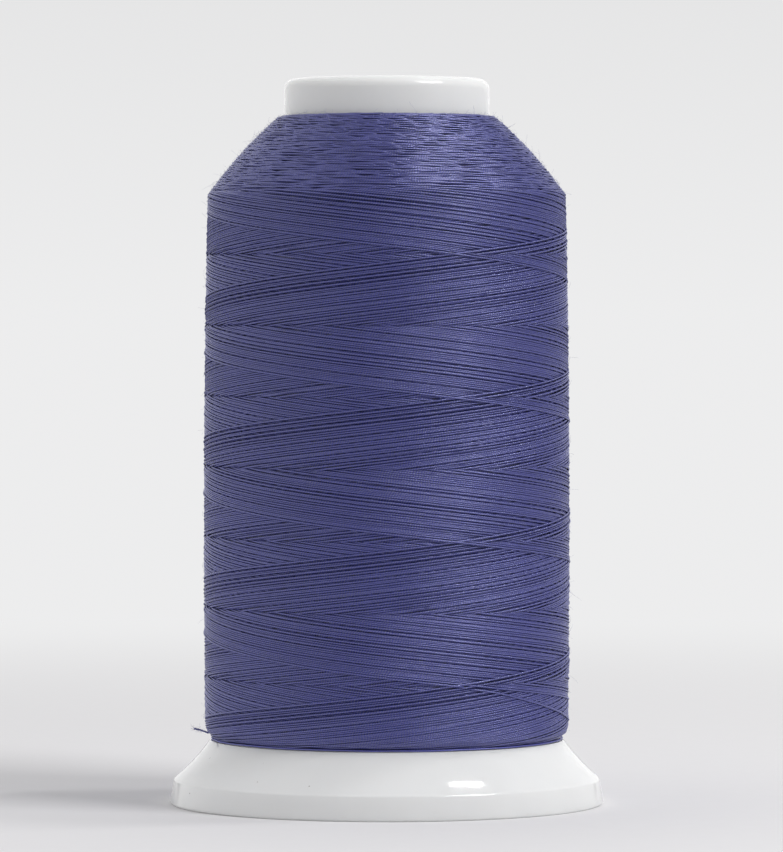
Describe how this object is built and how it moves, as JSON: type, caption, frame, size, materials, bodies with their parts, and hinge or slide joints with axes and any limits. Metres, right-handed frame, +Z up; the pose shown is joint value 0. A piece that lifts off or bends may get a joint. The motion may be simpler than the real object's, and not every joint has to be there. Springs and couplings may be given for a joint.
{
  "type": "spool of thread",
  "caption": "Tall cylindrical spool of cross-wound sewing thread with a conical shoulder, on a hollow plastic tube with a flared pull-out base.",
  "frame": {"origin": "centre of the foot circle, on the surface that the spool stands on", "axes": "+Z up along the tube's axis; the cut end of the thread is on the -X side"},
  "size_m": [0.0718, 0.0718, 0.12],
  "materials": {
    "white_plastic": "smooth white polypropylene, slightly translucent, with a soft shine",
    "thread": "blue-violet spun cotton sewing thread, slightly fuzzy, with a dull shine",
    "paper": "plain uncoated off-white paper"
  },
  "bodies": {
    "base": {"snap_base": "white_plastic", "base_label": "paper"},
    "spool": {"core_tube": "white_plastic", "thread_pack": "thread", "thread_tail": "thread"}
  },
  "joints": [
    {"name": "base_snap", "type": "slide", "parent": "base", "child": "spool", "axis": [0, 0, 1], "range_m": [0, 0.0035]}
  ]
}
